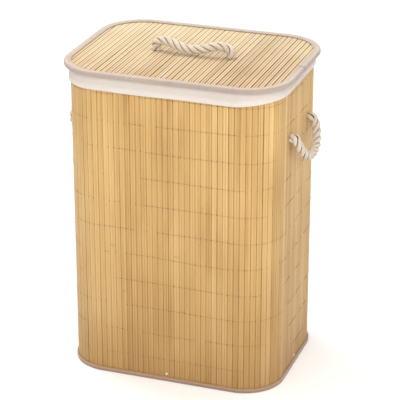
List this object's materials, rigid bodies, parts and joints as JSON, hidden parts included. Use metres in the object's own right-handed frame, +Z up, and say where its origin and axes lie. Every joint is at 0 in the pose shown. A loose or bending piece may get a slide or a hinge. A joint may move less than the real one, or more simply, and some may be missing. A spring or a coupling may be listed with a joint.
{
  "type": "laundry hamper with lid",
  "caption": "Upright rounded-rectangle laundry hamper of bound bamboo slats, with a cloth-hinged slat lid, a cotton liner folded over the rim, and rope handles.",
  "frame": {"origin": "on the floor under the middle of the body", "axes": "+Z up, -Y towards the front, where the lid opens, and +X towards the right-hand rope handle"},
  "size_m": [0.4574, 0.3259, 0.6165],
  "materials": {
    "bamboo": "split bamboo slats, clear varnish, satin",
    "lid_bamboo": "pale split bamboo slats, clear varnish, satin",
    "thread": "twisted cotton thread",
    "steel_wire": "drawn wire, zinc plated",
    "binding_cloth": "plain woven cotton tape, grey-mauve",
    "fibreboard": "hard fibreboard, matte",
    "cap_plastic": "moulded polyethylene, matte",
    "rivet_steel": "bright plated",
    "liner_cotton": "plain woven cotton, off-white",
    "rope_cotton": "three-strand twisted cotton, cream"
  },
  "bodies": {
    "basket": {"front_slats": "bamboo", "back_slats": "bamboo", "left_slats": "bamboo", "right_slats": "bamboo", "corner_slats_front_left": "bamboo", "corner_slats_front_right": "bamboo", "corner_slats_back_left": "bamboo", "corner_slats_back_right": "bamboo", "wall_threads": "thread", "rim_wire": "steel_wire", "rim_binding": "binding_cloth", "foot_wire": "steel_wire", "foot_binding": "binding_cloth", "base_slats": "bamboo", "base_threads": "thread", "base_board": "fibreboard", "support_rod_front_left": "steel_wire", "support_rod_front_right": "steel_wire", "support_rod_back_left": "steel_wire", "support_rod_back_right": "steel_wire", "rod_caps": "cap_plastic", "wall_rivets": "rivet_steel", "liner_wall": "liner_cotton", "liner_bottom": "liner_cotton", "hinge_strip": "binding_cloth", "left_handle_knots": "rope_cotton", "right_handle_knots": "rope_cotton"},
    "lid": {"lid_slats": "lid_bamboo", "lid_threads": "thread", "lid_wire": "steel_wire", "lid_binding": "binding_cloth", "lid_hinge_flap": "binding_cloth", "lid_handle_knots": "rope_cotton"},
    "lid_handle": {"lid_handle_rope": "rope_cotton"},
    "left_handle": {"left_handle_rope": "rope_cotton"},
    "right_handle": {"right_handle_rope": "rope_cotton"}
  },
  "joints": [
    {"name": "lid_hinge", "type": "hinge", "parent": "basket", "child": "lid", "pos_m": [0, 0.1635, 0.5835], "axis": [-1, 0, 0], "range_deg": [0, 240]},
    {"name": "lid_handle_swing", "type": "hinge", "parent": "lid", "child": "lid_handle", "pos_m": [0, 0, 0.5965], "axis": [-1, 0, 0], "range_deg": [0, 90]},
    {"name": "left_handle_swing", "type": "hinge", "parent": "basket", "child": "left_handle", "pos_m": [-0.2095, 0, 0.472], "axis": [0, 1, 0], "range_deg": [-4, 154]},
    {"name": "right_handle_swing", "type": "hinge", "parent": "basket", "child": "right_handle", "pos_m": [0.2095, 0, 0.472], "axis": [0, -1, 0], "range_deg": [-18, 140]}
  ]
}
